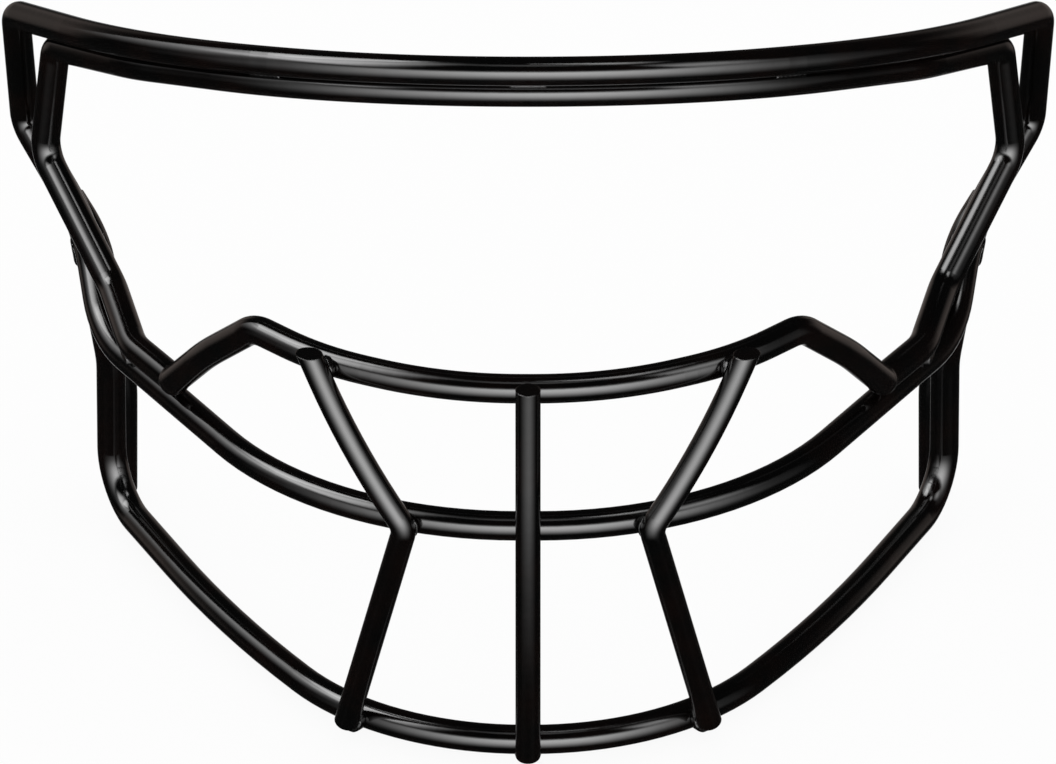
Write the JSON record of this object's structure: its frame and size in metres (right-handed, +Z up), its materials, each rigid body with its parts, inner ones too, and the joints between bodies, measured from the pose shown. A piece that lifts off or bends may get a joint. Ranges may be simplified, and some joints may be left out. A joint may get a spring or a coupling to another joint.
{
  "type": "helmet facemask",
  "caption": "Rigid cage of bent, welded and coated steel wires that bolts to the front of a sports helmet and guards the face.",
  "frame": {"origin": "on the axis of the brow bar, in the middle, between its two clip seats", "axes": "+X to the right as the front is seen, +Y to the back towards the helmet, +Z up"},
  "size_m": [0.2412, 0.1446, 0.1653],
  "materials": {
    "coated_wire": "gloss black coat over steel wire",
    "coated_weld": "gloss black coat over weld metal"
  },
  "bodies": {
    "root": {"bottom_bar": "coated_wire", "centre_upright": "coated_wire", "doubling_loop": "coated_wire", "left_side_post": "coated_wire", "left_upright": "coated_wire", "main_loop": "coated_wire", "nose_bar": "coated_wire", "right_side_post": "coated_wire", "right_upright": "coated_wire", "weld_brow_centre": "coated_weld", "weld_brow_left": "coated_weld", "weld_brow_right": "coated_weld", "weld_cheek_left": "coated_weld", "weld_cheek_right": "coated_weld", "weld_chin_centre": "coated_weld", "weld_chin_left": "coated_weld", "weld_chin_right": "coated_weld", "weld_foot_left": "coated_weld", "weld_foot_right": "coated_weld", "weld_lap_left": "coated_weld", "weld_lap_right": "coated_weld", "weld_mouth_centre": "coated_weld", "weld_mouth_left": "coated_weld", "weld_mouth_right": "coated_weld", "weld_nose_centre": "coated_weld", "weld_nose_left": "coated_weld", "weld_nose_right": "coated_weld", "weld_post_left": "coated_weld", "weld_post_right": "coated_weld", "weld_post_tip_left": "coated_weld", "weld_post_tip_right": "coated_weld", "weld_riser_left": "coated_weld", "weld_riser_right": "coated_weld"}
  },
  "joints": []
}
